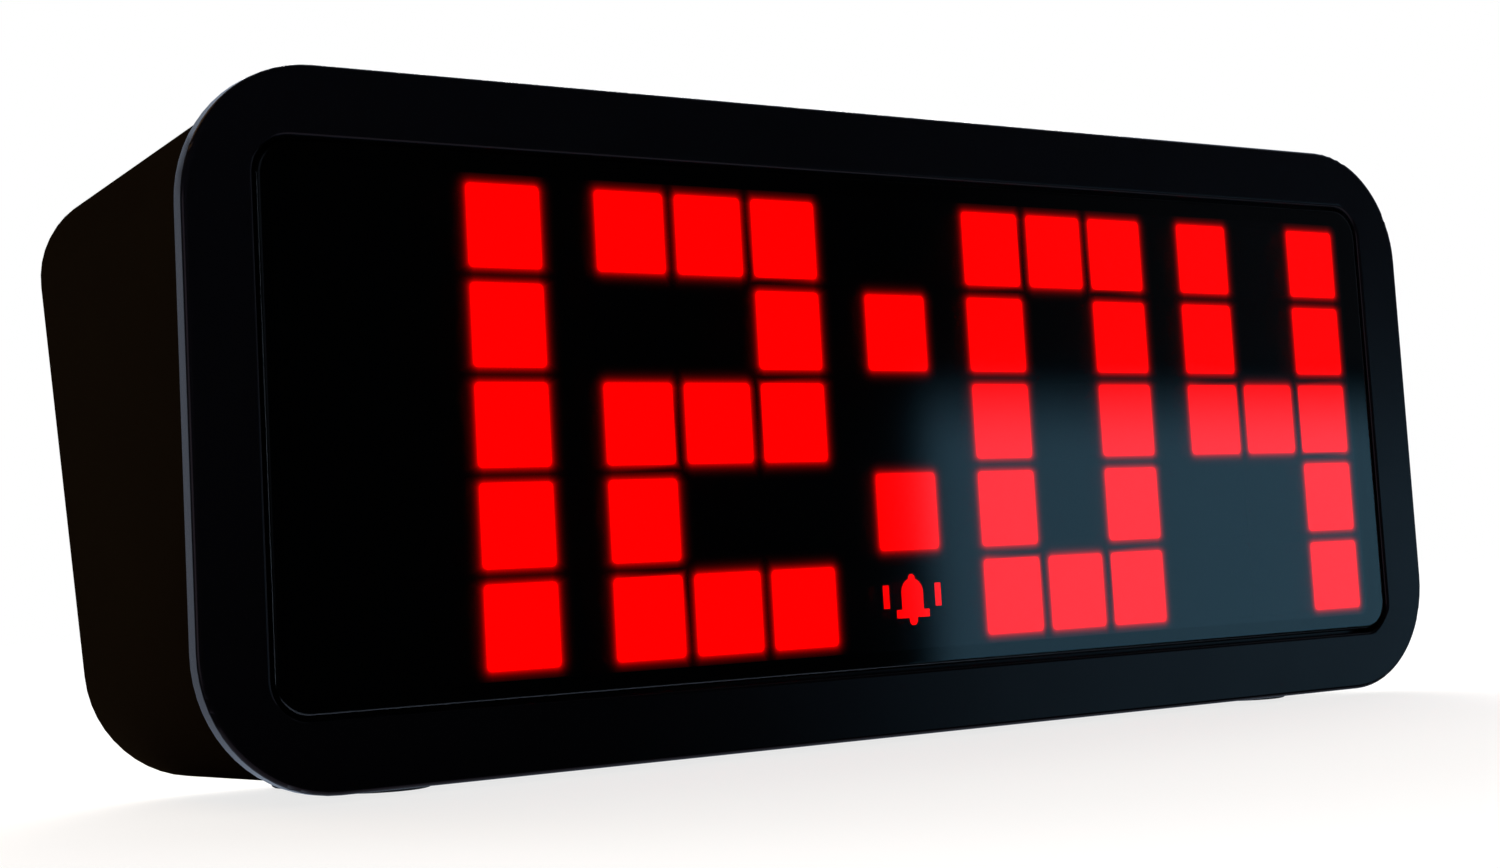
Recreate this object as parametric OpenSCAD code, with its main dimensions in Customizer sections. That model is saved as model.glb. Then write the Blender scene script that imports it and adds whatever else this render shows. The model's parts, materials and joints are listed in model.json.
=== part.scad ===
// Digital alarm clock with a large block-digit display, as an assembly of separate pieces.
// Frame: X to the right seen from the front, Y to the back, Z up, millimetres, rubber feet on Z = 0.
// Depths are counted from the front face towards the back; rows of the display are counted downwards.

/* [Display] */
// Spacing of the square light cells, the same along rows and columns
cell_pitch = 9.4; // [9.2:0.05:9.6]
// Gap between neighbouring light cells
cell_gap = 0.86; // [0.6:0.02:1.2]
// Time that is lit, as hours times 100 plus minutes
shown_time = 1204; // [0:1:2359]
// Thickness of the tinted window
lens_t = 2; // [1.6:0.1:2.2]

/* [Front frame] */
// Frame border beside the light cells
border_side = 9.8; // [9.6:0.1:10.6]
// Frame border above and below the light cells
border_top = 9.35; // [9.3:0.05:10.2]
// Corner radius of the front frame
face_r = 13; // [11:0.5:15]
// Rounding of the frame's outer front edge
edge_r = 0.5; // [0.4:0.1:1]
// Thickness of the frame's visible rim
rim_t = 1.8; // [1.5:0.1:2.4]
// Width of the dark line between the frame and the rear shell
shadow_gap = 0.6; // [0.4:0.1:0.8]

/* [Rear shell] */
// Depth from the front face to the back at mid height
mid_depth = 38; // [37:0.5:44]
// Slope of the back, deeper at the top
back_tilt = 12.4; // [10:0.2:13]
// How far the top falls towards the back
top_drop = 5.3; // [4.5:0.1:5.6]
// How far each side draws in towards the back
side_taper = 2; // [1.6:0.1:2.6]
// Overhang of the front frame beyond the shell
lip = 1; // [0.8:0.1:1.2]
// Wall thickness of the shell
wall = 2.2; // [2:0.1:2.4]
// Corner radius of the back, seen from behind
back_r = 10.5; // [8:0.5:12]

/* [Controls] */
// Clearance round every moving piece
fit = 0.3; // [0.25:0.05:0.4]
// Length of the snooze bar
snooze_l = 70; // [50:1:72]
// Width of the snooze bar
snooze_w = 12; // [10:0.5:12.5]
// Travel of the snooze bar
snooze_travel = 1.2; // [0.6:0.1:1.3]
// Width of a rear button
button_w = 8; // [7:0.5:9]
// Height of a rear button
button_h = 5; // [4.5:0.5:6]
// Travel of a rear button
button_travel = 0.9; // [0.5:0.1:1]
// Travel of the alarm slide
slide_travel = 4; // [3:0.5:4.5]

/* [Power] */
// Diameter of a backup cell
cell_d = 10.5; // [10.2:0.1:10.6]
// Length of a backup cell
cell_l = 44.5; // [44:0.1:44.8]
// Bore of the power inlet
inlet_bore = 6; // [5.6:0.1:6.4]
// Height of the feet below the front frame
foot_drop = 0.6; // [0.4:0.1:1]

/* [Hidden] */
$fn = 64;
slack = 0.05;

// Sizes of the display field: four digits of 3 by 5 cells and a colon
cell = cell_pitch - cell_gap;
digit_x = [0, 3.512, 8.516, 12.026];
colon_x = 7.016;
field_cols = digit_x[3] + 3;
field_w = field_cols * cell_pitch - cell_gap;
field_h = 5 * cell_pitch - cell_gap;
cell_r = 0.5;
digits = [floor(shown_time / 1000) % 10, floor(shown_time / 100) % 10,
          floor(shown_time / 10) % 10, shown_time % 10];
// Rows of each numeral from 0 to 9, three cells to a row
glyphs = [[[1, 1, 1], [1, 0, 1], [1, 0, 1], [1, 0, 1], [1, 1, 1]],
          [[0, 0, 1], [0, 0, 1], [0, 0, 1], [0, 0, 1], [0, 0, 1]],
          [[1, 1, 1], [0, 0, 1], [1, 1, 1], [1, 0, 0], [1, 1, 1]],
          [[1, 1, 1], [0, 0, 1], [1, 1, 1], [0, 0, 1], [1, 1, 1]],
          [[1, 0, 1], [1, 0, 1], [1, 1, 1], [0, 0, 1], [0, 0, 1]],
          [[1, 1, 1], [1, 0, 0], [1, 1, 1], [0, 0, 1], [1, 1, 1]],
          [[1, 1, 1], [1, 0, 0], [1, 1, 1], [1, 0, 1], [1, 1, 1]],
          [[1, 1, 1], [0, 0, 1], [0, 0, 1], [0, 0, 1], [0, 0, 1]],
          [[1, 1, 1], [1, 0, 1], [1, 1, 1], [1, 0, 1], [1, 1, 1]],
          [[1, 1, 1], [1, 0, 1], [1, 1, 1], [0, 0, 1], [1, 1, 1]]];
// Cells that a numeral can use: the two holes of an 8 are never lit
digit_cells = [for (d = [0:3], r = [0:4], c = [0:2]) if (!(c == 1 && (r == 1 || r == 3))) [d, c, r]];
lit_list = [for (k = digit_cells) if (glyphs[digits[k[0]]][k[2]][k[1]] == 1) k];
unlit_list = [for (k = digit_cells) if (glyphs[digits[k[0]]][k[2]][k[1]] == 0) k];

// Bell sign under the colon: a dome over a skirt, a rim, a knob, a clapper and two waves
bell_row = 4.43;
dome_r = 1.45;
dome_y = -0.75;
skirt_h = 2.1;
bell_rim = [4.4, 0.8];
rim_y = dome_y + skirt_h + 0.1;
knob_r = 0.45;
clapper_r = 0.55;
clapper_y = rim_y + 0.65;
wave = [0.8, 2.4];
wave_x = 3.5;
wave_y = -0.4;

// Front frame
face_w = field_w + 2 * border_side;
face_h = field_h + 2 * border_top;
lens_w = field_w + 5.6;
lens_h = field_h + 4.9;
lens_r = 3.4;
lens_edge = 0.5;
lens_a = 0.15;
lens_b = lens_a + lens_t;
lens_fit = 0.3;
open_w = lens_w + 2 * lens_fit;
open_h = lens_h + 2 * lens_fit;
open_r = lens_r + lens_fit;
open_edge = 0.4;
ledge_w = field_w + 1.6;
ledge_h = field_h + 1.3;
ledge_b = lens_b + 1.4;
shell_a = rim_t + shadow_gap;
spigot_a = lip + wall + 0.8;
spigot_t = 1.4;
spigot_b = 7.4;

// Display stack behind the window
mask_a = lens_b + fit;
mask_w = field_w + 1.2;
mask_h = field_h + 0.9;
flange_h = mask_h + 2;
board_a = 7.6;
board_t = 1.6;
board_b = board_a + board_t;
board_w = mask_w;
board_h = face_h - 2 * (lip + wall + 1);
plug_t = 1.8;
led_t = 0.8;
led_size = [2.8, 3.5];
bell_led = [2.4, 1.6];
chip_x = 8;
chip_z = 4;
chip_w = 10;
chip_t = 1.4;
chip_up = 0.2;
chip_pin = [0.4, 0.5];
pin_l = 1.5;
crystal_z = 5;
crystal_l = 11;
crystal_w = 4.8;
crystal_t = 3.4;
crystal_rim = [0.4, 0.5];
cap_x = [-48, -40];
cap_z = -8;
cap_d = 5;
cap_h = 7;
cap_rim = [0.3, 0.8];
crystal_x = chip_x - chip_w / 2 - pin_l - 1 - crystal_l / 2;

// Screws: the case screws pull the shell onto the frame, the board screws hold the boards
case_d = 2.2;
case_head = 3.8;
case_x = mask_w / 2 + 2.8;
case_z = 13;
case_boss = 2.4;
case_post_r = 3.1;
case_seat = 12.1;
case_post = 9.6;
screw_d = 1.6;
screw_head = 3;
screw_l = 5;
stud_x = 30;
stud_z = flange_h / 2 + 1.85;
stud_r = 1.75;

// Rear shell: back plane and top plane
tube = 2.5;
back_w = face_w - 2 * side_taper;
back_top = (face_h / 2 - top_drop) / cos(back_tilt);
function back_low(k, off, t) =
    (-(face_h / 2 - lip - k) + t - (off + t) * sin(back_tilt)) / cos(back_tilt) - t;
back_v = mid_depth + (back_top - tube) * sin(back_tilt) - tube * cos(back_tilt) + tube;
y_front = -back_v / 2;
z_mid = foot_drop + face_h / 2;
front_land = 0.6;
top_v = shell_a + front_land;
top_z = face_h / 2 - lip;
arc_v = mid_depth + (back_top - tube) * sin(back_tilt) - tube * cos(back_tilt) - top_v;
arc_z = top_z - (back_top - tube) * cos(back_tilt) - tube * sin(back_tilt);
top_slope = atan2(arc_z, arc_v) - asin(tube / sqrt(arc_v * arc_v + arc_z * arc_z));

// Snooze bar, in the frame of the top plane
snooze_v = 19.6;
snooze_y = snooze_v - top_v;
snooze_up = 1.8;
cap_flange = 1.2;
bar_low = -(wall + fit + cap_flange);
snooze_board_z = -10.6;
snooze_post_x = 42;
snooze_board_l = 2 * (snooze_post_x + 4);
guide_x = 28;
guide_d = 3;
switch_w = 6;
switch_t = 3.6;
switch_well = 3.2;
stem_d = 3.2;
// Height of a stem's end over its board, clear of the switch when pressed in by a travel
function stem_low(travel) = switch_t - switch_well + travel + fit;
snooze_edge = 0.9;

// Rear controls, in the frame of the back plane
key_z = -13.4;
key_t = 1.2;
key_y = 13.5;
key_h = 15;
key_x0 = -62;
key_x1 = 49;
button_x = [-38, -21, -4, 13];
button_up = 1;
button_edge = 0.4;
button_flange = 1;
slide_x = 33;
slide_w = 4.4;
slide_h = 4;
slide_case = [13, 6, 4];
slide_floor = 1;
tongue = [2, 2.6];
tongue_low = key_z + key_t + slide_floor + 2 * fit;
inlet_x = -55;
inlet_case = [9.2, 11];
pin_d = 2;
pin_h = 8;
key_post_x = [-46.5, 45];
post_r = 2.6;

// Backup cells and their bay, in the frame of the back plane
bay_l = cell_l + 6.7;
bay_top = -5.4;
bay_h = 2 * cell_d + 1;
bay_low = bay_top - bay_h;
bay_z = -(1.8 + 0.4 + cell_d + 0.3);
bay_wall = 1.2;
cell_y = [bay_top - 0.25 - cell_d / 2, bay_low + 0.25 + cell_d / 2];
cell_z = bay_z + 0.2 + cell_d / 2;
plate_t = 0.4;
plate_w = 8.8;
tab_w = 3;
tip_d = 3.8;
tip_h = 0.8;
door_t = 1.6;
hinge_y = -3.6;
hinge_r = 1.5;
hinge_gap = fit + 0.2;
pin_r = 0.6;
door_w = bay_l + 4;
door_low = bay_low - 2;
grip = [12, 0.6, 0.35];
grip_step = 1.4;
latch = [8, 0.8, 2];
frame_w = door_w + 6;
end_gap = 0.02;
spring_l = bay_l - 2 * (plate_t + end_gap) - cell_l;
spring_r = 3.1;
wire_r = 0.4;
spring_turns = 3.5;
spring_rise = spring_l - 2 * wire_r;
spring_gap = spring_rise / spring_turns - 2 * wire_r;
echo(spring_least_gap = spring_gap);

// Sounder
buzzer_x = 50;
buzzer_y = -15;
buzzer_r = 11;
buzzer_t = 7;
grille_d = 1.8;
grille_step = 3.6;

// Feet
foot_r = 4.5;
foot_x = face_w / 2 - 22;
foot_v = [9.5, 23.4];
foot_sink = 0.5;
foot_edge = 0.4;
shell_low = foot_drop + lip;

// Frames of reference
module face_frame() {
    translate([0, y_front, z_mid]) rotate([-90, 0, 0]) children();
}
module on_back() {
    translate([0, y_front + mid_depth, z_mid]) rotate([-back_tilt, 0, 0]) rotate([90, 0, 180]) children();
}
module on_top() {
    translate([0, y_front + top_v, z_mid + top_z]) rotate([-top_slope, 0, 0]) children();
}
module slab(a, b) {
    face_frame() translate([0, 0, a]) linear_extrude(b - a) children();
}

// Flat outlines
module outline(w, h, r) {
    square([w - 2 * r, h], center = true);
    square([w, h - 2 * r], center = true);
    for (x = [-1, 1], y = [-1, 1]) translate([x * (w / 2 - r), y * (h / 2 - r)]) circle(r);
}
module stadium(w, h) {
    square([w - h, h], center = true);
    for (x = [-1, 1]) translate([x * (w - h) / 2, 0]) circle(h / 2);
}
// Carries a profile of inset and height round a rounded rectangle
module swept_frame(w, h, r) {
    for (k = [0, 180]) rotate(k) {
        translate([w / 2, -(h / 2 - r), 0]) rotate([90, 0, 180]) linear_extrude(h - 2 * r) children();
        rotate(90) translate([h / 2, -(w / 2 - r), 0]) rotate([90, 0, 180])
            linear_extrude(w - 2 * r) children();
    }
    for (c = [[1, 1, 0], [-1, 1, 90], [-1, -1, 180], [1, -1, 270]])
        translate([c[0] * (w / 2 - r), c[1] * (h / 2 - r), 0]) rotate(c[2])
            rotate_extrude(angle = 90) translate([r, 0]) mirror([1, 0]) children();
}
// Profile of a strip with its outer low edge rounded
module soft_strip(w, a, b, e) {
    translate([e, a]) square([w - e, b - a]);
    translate([0, a + e]) square([w, b - a - e]);
    translate([e, a + e]) circle(e);
}
// Cap shaped like a pill, its top at Z = 0 with a rounded rim
module pill_cap(w, h, tall, edge) {
    mirror([0, 0, 1]) {
        swept_frame(w, h, h / 2 - 0.01) soft_strip(h / 2 - 0.02, 0, tall, edge);
        linear_extrude(tall) outline(w - 2 * edge - 1, h - 2 * edge - 1, h / 2 - edge - 0.51);
    }
}
// Cross recess of a screw head
module cross_recess(d, t) {
    translate([-d / 2, -d * 0.12, 0]) cube([d, d * 0.24, t]);
    translate([-d * 0.12, -d / 2, 0]) cube([d * 0.24, d, t]);
}
// Pan-head screw, head upwards from Z = 0, shank downwards
module pan_screw(d, head, long) {
    translate([0, 0, -long]) cylinder(h = long + 0.2, d = d);
    difference() {
        intersection() {
            cylinder(h = head * 0.38, d = head);
            translate([0, 0, -head * 0.45]) sphere(head * 0.86);
        }
        translate([0, 0, head * 0.2]) cross_recess(head * 0.62, head);
    }
}
// Corners of the light cells and the small bell sign under the colon
module cell_at(k) {
    translate([(digit_x[k[0]] + k[1]) * cell_pitch - field_w / 2 + cell / 2,
               k[2] * cell_pitch - field_h / 2 + cell / 2]) children();
}
module colon_at() {
    for (r = [1, 3])
        translate([colon_x * cell_pitch - field_w / 2 + cell / 2, r * cell_pitch - field_h / 2 + cell / 2])
            children();
}
module bell_at() {
    translate([colon_x * cell_pitch - field_w / 2 + cell / 2, bell_row * cell_pitch - field_h / 2])
        children();
}
module bell_sign(g) {
    grow = [2 * g, 2 * g];
    translate([0, dome_y]) circle(dome_r + g);
    translate([0, dome_y + skirt_h / 2]) square([2 * dome_r, skirt_h] + grow, center = true);
    translate([0, rim_y]) square(bell_rim + grow, center = true);
    translate([0, clapper_y]) circle(clapper_r + g);
    translate([0, dome_y - dome_r]) circle(knob_r + g);
    for (s = [-1, 1]) translate([s * wave_x, wave_y]) square(wave + grow, center = true);
}

// Front frame with window ledge, spigot and bosses
module front_bezel() {
    color([0.05, 0.06, 0.07]) difference() {
        union() {
            face_frame() swept_frame(face_w, face_h, face_r) union() {
                soft_strip(spigot_a + spigot_t, 0, rim_t, edge_r);
                translate([lip + wall / 2, rim_t - 0.5])
                    square([spigot_a + spigot_t - lip - wall / 2, shadow_gap + 0.5]);
                translate([spigot_a, rim_t]) square([spigot_t, spigot_b - rim_t]);
            }
            slab(0, ledge_b) difference() {
                outline(face_w - 2 * (spigot_a + 1), face_h - 2 * (spigot_a + 1), face_r - spigot_a - 1);
                outline(open_w + 2, open_h + 2, open_r + 1);
            }
            face_frame() swept_frame(open_w + 3, open_h + 3, open_r + 1.5)
                translate([1.5, 0]) mirror([1, 0]) soft_strip(1.5, 0, ledge_b, open_edge);
            slab(lens_b, ledge_b) difference() {
                outline(open_w + 2, open_h + 2, open_r + 1);
                outline(ledge_w, ledge_h, 1);
            }
            for (x = [-1, 1], z = [-1, 1]) {
                face_frame() translate([x * case_x, z * case_z, lens_b + 0.5])
                    cylinder(h = case_post - slack - lens_b - 0.5, r = case_boss);
                face_frame() translate([x * stud_x, z * stud_z, lens_b + 0.5])
                    cylinder(h = board_a - lens_b - 0.5, r = stud_r);
            }
        }
        for (x = [-1, 1], z = [-1, 1]) {
            face_frame() translate([x * case_x, z * case_z, lens_b + 2])
                cylinder(h = case_post, d = case_d + 2 * slack);
            face_frame() translate([x * stud_x, z * stud_z, lens_b + 1])
                cylinder(h = board_a, d = screw_d + 2 * slack);
        }
    }
}

// Tinted window, flush in the frame
module display_lens() {
    color([0.07, 0.06, 0.07]) {
        face_frame() swept_frame(lens_w, lens_h, lens_r) soft_strip(2.4, lens_a, lens_b, lens_edge);
        slab(lens_a, lens_b) outline(lens_w - 3, lens_h - 3, lens_r - 1.5);
    }
}

// Opaque grid that keeps each cell's light apart
module light_mask() {
    color([0.03, 0.03, 0.03]) difference() {
        union() {
            slab(mask_a, board_a) square([mask_w, mask_h], center = true);
            slab(ledge_b + slack, ledge_b + 1.4) square([mask_w, flange_h], center = true);
        }
        slab(mask_a - 1, board_a + 1) {
            for (k = digit_cells) cell_at(k) outline(cell, cell, cell_r);
            colon_at() outline(cell, cell, cell_r);
            bell_at() bell_sign(slack);
        }
    }
}

// Clear resin in the cells, those that are lit and those that are dark
module resin() {
    slab(mask_a + 0.05, mask_a + 0.05 + plug_t) children();
}
module lit_cells() {
    color([0.95, 0.02, 0.02]) resin() {
        for (k = lit_list) cell_at(k) outline(cell - 2 * slack, cell - 2 * slack, cell_r);
        colon_at() outline(cell - 2 * slack, cell - 2 * slack, cell_r);
    }
}
module unlit_cells() {
    color([0.2, 0.05, 0.05])
        resin() for (k = unlit_list) cell_at(k) outline(cell - 2 * slack, cell - 2 * slack, cell_r);
}
module bell_cell() {
    color([0.95, 0.02, 0.02]) resin() bell_at() bell_sign(0);
}

// Circuit board behind the grid, with one light chip to each cell
module display_board() {
    color([0.08, 0.3, 0.16]) slab(board_a, board_b) difference() {
        outline(board_w, board_h, 1.5);
        for (x = [-1, 1], z = [-1, 1]) translate([x * stud_x, z * stud_z]) circle(d = screw_d + 0.3);
    }
}
module display_leds() {
    color([0.9, 0.85, 0.7]) slab(board_a - led_t, board_a) {
        for (k = digit_cells) cell_at(k) square(led_size, center = true);
        colon_at() square(led_size, center = true);
        bell_at() square(bell_led, center = true);
    }
}
module control_chip() {
    color([0.06, 0.06, 0.07]) face_frame() translate([chip_x, chip_z, board_b]) {
        translate([-chip_w / 2, -chip_w / 2, chip_up]) cube([chip_w, chip_w, chip_t]);
        for (a = [0:90:270], i = [-3.5:1:3.5]) rotate(a)
            translate([chip_w / 2 - 0.4, i - chip_pin[0] / 2, 0])
                cube([pin_l + 0.4, chip_pin[0], chip_pin[1]]);
    }
}
module timing_crystal() {
    color([0.75, 0.76, 0.78]) face_frame() translate([crystal_x, crystal_z, board_b]) {
        linear_extrude(crystal_rim[1]) stadium(crystal_l, crystal_w);
        linear_extrude(crystal_t) stadium(crystal_l - 2 * crystal_rim[0], crystal_w - 2 * crystal_rim[0]);
    }
}
module board_capacitors() {
    color([0.12, 0.14, 0.3]) for (x = cap_x) face_frame() translate([x, cap_z, board_b]) {
        cylinder(h = cap_h, d = cap_d);
        cylinder(h = cap_rim[1], d = cap_d + 2 * cap_rim[0]);
    }
}

// Solid inside the outer skin of the shell, drawn in by k, with its back set in by off
module shell_form(a, k, off, t) {
    hull() {
        slab(a, a + front_land)
            outline(face_w - 2 * (lip + k), face_h - 2 * (lip + k), face_r - lip - k, $fn = 48);
        on_back() for (x = [-1, 1],
                y = [back_top - back_r - (k > 0 ? 0.3 : 0), back_low(k, off, t) + back_r - k])
            translate([x * (back_w / 2 - back_r), y, -off - t])
                rotate_extrude($fn = 48) translate([back_r - k - t, 0]) circle(t, $fn = 24);
    }
}
module bay_box(g, low) {
    translate([-bay_l / 2 - g, bay_low - g, low]) cube([bay_l + 2 * g, bay_h + 2 * g, -low - 1]);
}
module grille() {
    translate([buzzer_x, buzzer_y, -wall - 1]) {
        cylinder(h = wall + 3, d = grille_d);
        for (k = [1, 2], i = [0:6 * k - 1]) rotate(i * 60 / k) translate([grille_step * k, 0, 0])
            cylinder(h = wall + 3, d = grille_d);
    }
}

// Rear shell with screw posts, cell bay, door recess and openings for the controls
module rear_shell() {
    color([0.07, 0.06, 0.05]) difference() {
        union() {
            difference() {
                shell_form(shell_a, 0, 0, tube);
                shell_form(shell_a - 0.5, wall, wall, 1);
            }
            for (x = [-1, 1], z = [-1, 1]) translate([x * case_x, y_front + case_post, z_mid + z * case_z])
                rotate([-90, 0, 0])
                    cylinder(h = mid_depth + z * case_z * tan(back_tilt) - 1.4 - case_post, r = case_post_r);
            on_back() {
                bay_box(bay_wall, bay_z - bay_wall);
                translate([-frame_w / 2, door_low - 2, -2 * hinge_r - fit - 1.1])
                    cube([frame_w, -0.4 - door_low + 2, 2 * hinge_r + fit + 0.3]);
                for (x = key_post_x) translate([x, key_y, key_z + key_t])
                    cylinder(h = -1 - key_z - key_t, r = post_r);
                translate([buzzer_x, buzzer_y, -6]) difference() {
                    cylinder(h = 5, r = buzzer_r + 1.5);
                    translate([0, 0, -1]) cylinder(h = 4.8, r = buzzer_r + 0.2);
                }
            }
            on_top() for (x = [-1, 1]) translate([x * snooze_post_x, snooze_y, snooze_board_z + key_t])
                cylinder(h = -1 - snooze_board_z - key_t, r = post_r);
        }
        for (x = [-1, 1], z = [-1, 1])
            translate([x * case_x, y_front, z_mid + z * case_z]) rotate([-90, 0, 0]) {
                translate([0, 0, case_seat]) cylinder(h = mid_depth, d = case_head + 0.6);
                translate([0, 0, case_post - 1]) cylinder(h = case_seat - case_post + 2, d = case_d + 0.3);
            }
        on_back() {
            bay_space();
            door_recess();
            grille();
            for (x = button_x) translate([x, key_y, -wall - 1]) linear_extrude(wall + 3)
                stadium(button_w + 2 * fit, button_h + 2 * fit);
            translate([slide_x, key_y, -wall - 1]) linear_extrude(wall + 3)
                square([slide_w + slide_travel + 2 * fit, slide_h + 2 * fit], center = true);
            translate([inlet_x, key_y, -wall - 1]) cylinder(h = wall + 3, d = inlet_bore + 2.4);
            for (x = key_post_x) translate([x, key_y, key_z]) cylinder(h = 6, d = screw_d + 2 * slack);
        }
        on_top() {
            translate([0, snooze_y, -wall - 1]) linear_extrude(wall + 3)
                stadium(snooze_l + 2 * fit, snooze_w + 2 * fit);
            for (x = [-1, 1]) translate([x * snooze_post_x, snooze_y, snooze_board_z])
                cylinder(h = 6, d = screw_d + 2 * slack);
        }
        for (x = [-1, 1], v = foot_v) translate([x * foot_x, y_front + v, -1])
            cylinder(h = 1 + shell_low + foot_sink, r = foot_r + 0.1);
    }
}
// Space of the cell bay, with slots for the solder tabs in its floor
module bay_space() {
    translate([-bay_l / 2, bay_low, bay_z]) cube([bay_l, bay_h, 20]);
    for (y = cell_y) translate([bay_l / 2 - plate_t - 0.1, y - tab_w / 2 - 0.1, bay_z - 3])
        cube([plate_t + 0.1, tab_w + 0.2, 4]);
}
// Recess of the door with the holes of its hinge pins and a finger scoop
module door_recess() {
    translate([-door_w / 2 - fit, door_low - fit, -door_t - fit])
        cube([door_w + 2 * fit, hinge_y - door_low + fit + hinge_r + hinge_gap, 10]);
    translate([-door_w / 2 - fit, hinge_y - hinge_r - fit, -2 * hinge_r - fit])
        cube([door_w + 2 * fit, 2 * hinge_r + fit + hinge_gap, 10]);
    translate([-door_w / 2 - 1.5 - fit, hinge_y, -hinge_r]) rotate([0, 90, 0])
        cylinder(h = door_w + 3 + 2 * fit, r = pin_r + fit);
    translate([0, door_low - 0.5, 1.6]) sphere(3.2);
}

// Snooze bar on the top, with flange, guide pins and a middle stem
module snooze_bar() {
    color([0.09, 0.09, 0.09]) on_top() translate([0, snooze_y, 0]) {
        translate([0, 0, snooze_up]) pill_cap(snooze_l, snooze_w, snooze_up + wall + fit, snooze_edge);
        translate([0, 0, bar_low]) linear_extrude(cap_flange) outline(snooze_l + 4, snooze_w + 3, 3);
        for (x = [-1, 1]) translate([x * guide_x, 0, snooze_board_z - 1.4])
            cylinder(h = bar_low - snooze_board_z + 1.6, d = guide_d);
        translate([0, 0, snooze_board_z + key_t + stem_low(snooze_travel)])
            cylinder(h = bar_low + 0.2 - snooze_board_z - key_t - stem_low(snooze_travel), d = stem_d);
    }
}
module snooze_board() {
    color([0.08, 0.3, 0.16]) on_top() translate([0, snooze_y, snooze_board_z])
        linear_extrude(key_t) difference() {
            outline(snooze_board_l, 11, 1);
            for (x = [-1, 1]) {
                translate([x * guide_x, 0]) circle(d = guide_d + 2 * fit);
                translate([x * snooze_post_x, 0]) circle(d = screw_d + 0.3);
            }
        }
}
// Push switch body with a well for the stem that works it
module push_switch(deep) {
    difference() {
        translate([-switch_w / 2, -switch_w / 2, 0]) cube([switch_w, switch_w, switch_t]);
        translate([0, 0, switch_t - deep]) cylinder(h = deep + 1, d = stem_d + 2 * fit);
        for (x = [-1, 1], y = [-1, 1]) translate([x * switch_w / 2, y * switch_w / 2, -1])
            cylinder(h = switch_t + 2, r = 0.7);
    }
}
module snooze_switch() {
    color([0.1, 0.1, 0.11]) on_top() translate([0, snooze_y, snooze_board_z + key_t])
        push_switch(switch_well);
}

// Board behind the rear buttons, with their switches
module key_board() {
    color([0.08, 0.3, 0.16]) on_back() translate([0, key_y, key_z]) linear_extrude(key_t) difference() {
        translate([(key_x0 + key_x1) / 2, 0]) outline(key_x1 - key_x0, key_h, 1);
        for (x = key_post_x) translate([x, 0]) circle(d = screw_d + 0.3);
    }
}
module key_switches() {
    color([0.1, 0.1, 0.11]) on_back() for (x = button_x)
        translate([x, key_y, key_z + key_t]) push_switch(switch_well);
}
module alarm_switch() {
    color([0.75, 0.76, 0.78]) on_back() translate([slide_x, key_y, key_z + key_t]) difference() {
        translate([-slide_case[0] / 2, -slide_case[1] / 2, 0]) cube(slide_case);
        translate([-(tongue[0] + slide_travel) / 2 - fit, -tongue[1] / 2 - fit, slide_floor])
            cube([tongue[0] + slide_travel + 2 * fit, tongue[1] + 2 * fit, slide_case[2]]);
    }
}

// Rear buttons: a cap through the wall, a flange inside and a stem to the switch
module rear_button(x) {
    on_back() translate([x, key_y, 0]) {
        translate([0, 0, button_up]) pill_cap(button_w, button_h, button_up + wall + fit, button_edge);
        translate([0, 0, -wall - fit - button_flange]) linear_extrude(button_flange)
            stadium(button_w + 2, button_h + 2);
        translate([0, 0, key_z + key_t + stem_low(button_travel)])
            cylinder(h = -wall - fit - 0.2 - key_z - key_t - stem_low(button_travel), d = stem_d);
    }
}
module time_button() {
    color([0.12, 0.12, 0.12]) rear_button(button_x[0]);
}
module alarm_button() {
    color([0.12, 0.12, 0.12]) rear_button(button_x[1]);
}
module hour_button() {
    color([0.12, 0.12, 0.12]) rear_button(button_x[2]);
}
module minute_button() {
    color([0.12, 0.12, 0.12]) rear_button(button_x[3]);
}
// Alarm slide, drawn at its off end
module alarm_slide() {
    color([0.12, 0.12, 0.12]) on_back() translate([slide_x - slide_travel / 2, key_y, 0]) {
        difference() {
            translate([-slide_w / 2, -slide_h / 2, -wall - fit])
                cube([slide_w, slide_h, wall + fit + button_up]);
            for (i = [-1, 0, 1]) translate([i * 1.2 - 0.2, -slide_h, button_up - 0.35])
                cube([0.4, slide_h * 2, 1]);
        }
        translate([-slide_w / 2 - slide_travel / 2 - 1.2, -slide_h / 2 - 1, -wall - fit - 1])
            cube([slide_w + slide_travel + 2.4, slide_h + 2, 1]);
        translate([-tongue[0] / 2, -tongue[1] / 2, tongue_low])
            cube([tongue[0], tongue[1], -wall - fit - 0.2 - tongue_low]);
    }
}

// Power inlet with its middle pin
module power_inlet() {
    color([0.05, 0.05, 0.05]) on_back() translate([inlet_x, key_y, 0]) difference() {
        union() {
            translate([-inlet_case[0] / 2, -inlet_case[1] / 2, key_z + key_t])
                cube([inlet_case[0], inlet_case[1], -wall - slack - key_z - key_t]);
            translate([0, 0, -wall - 1]) cylinder(h = wall + 1 - 0.2, d = inlet_bore + 2);
        }
        translate([0, 0, key_z + key_t + 1.4]) cylinder(h = 20, d = inlet_bore);
    }
}
module inlet_pin() {
    color([0.8, 0.78, 0.7]) on_back() translate([inlet_x, key_y, 0]) {
        translate([0, 0, key_z + key_t + 1.4]) cylinder(h = pin_h, d = pin_d);
        translate([0, 0, key_z + key_t + 1.4 + pin_h]) sphere(d = pin_d);
    }
}

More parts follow.
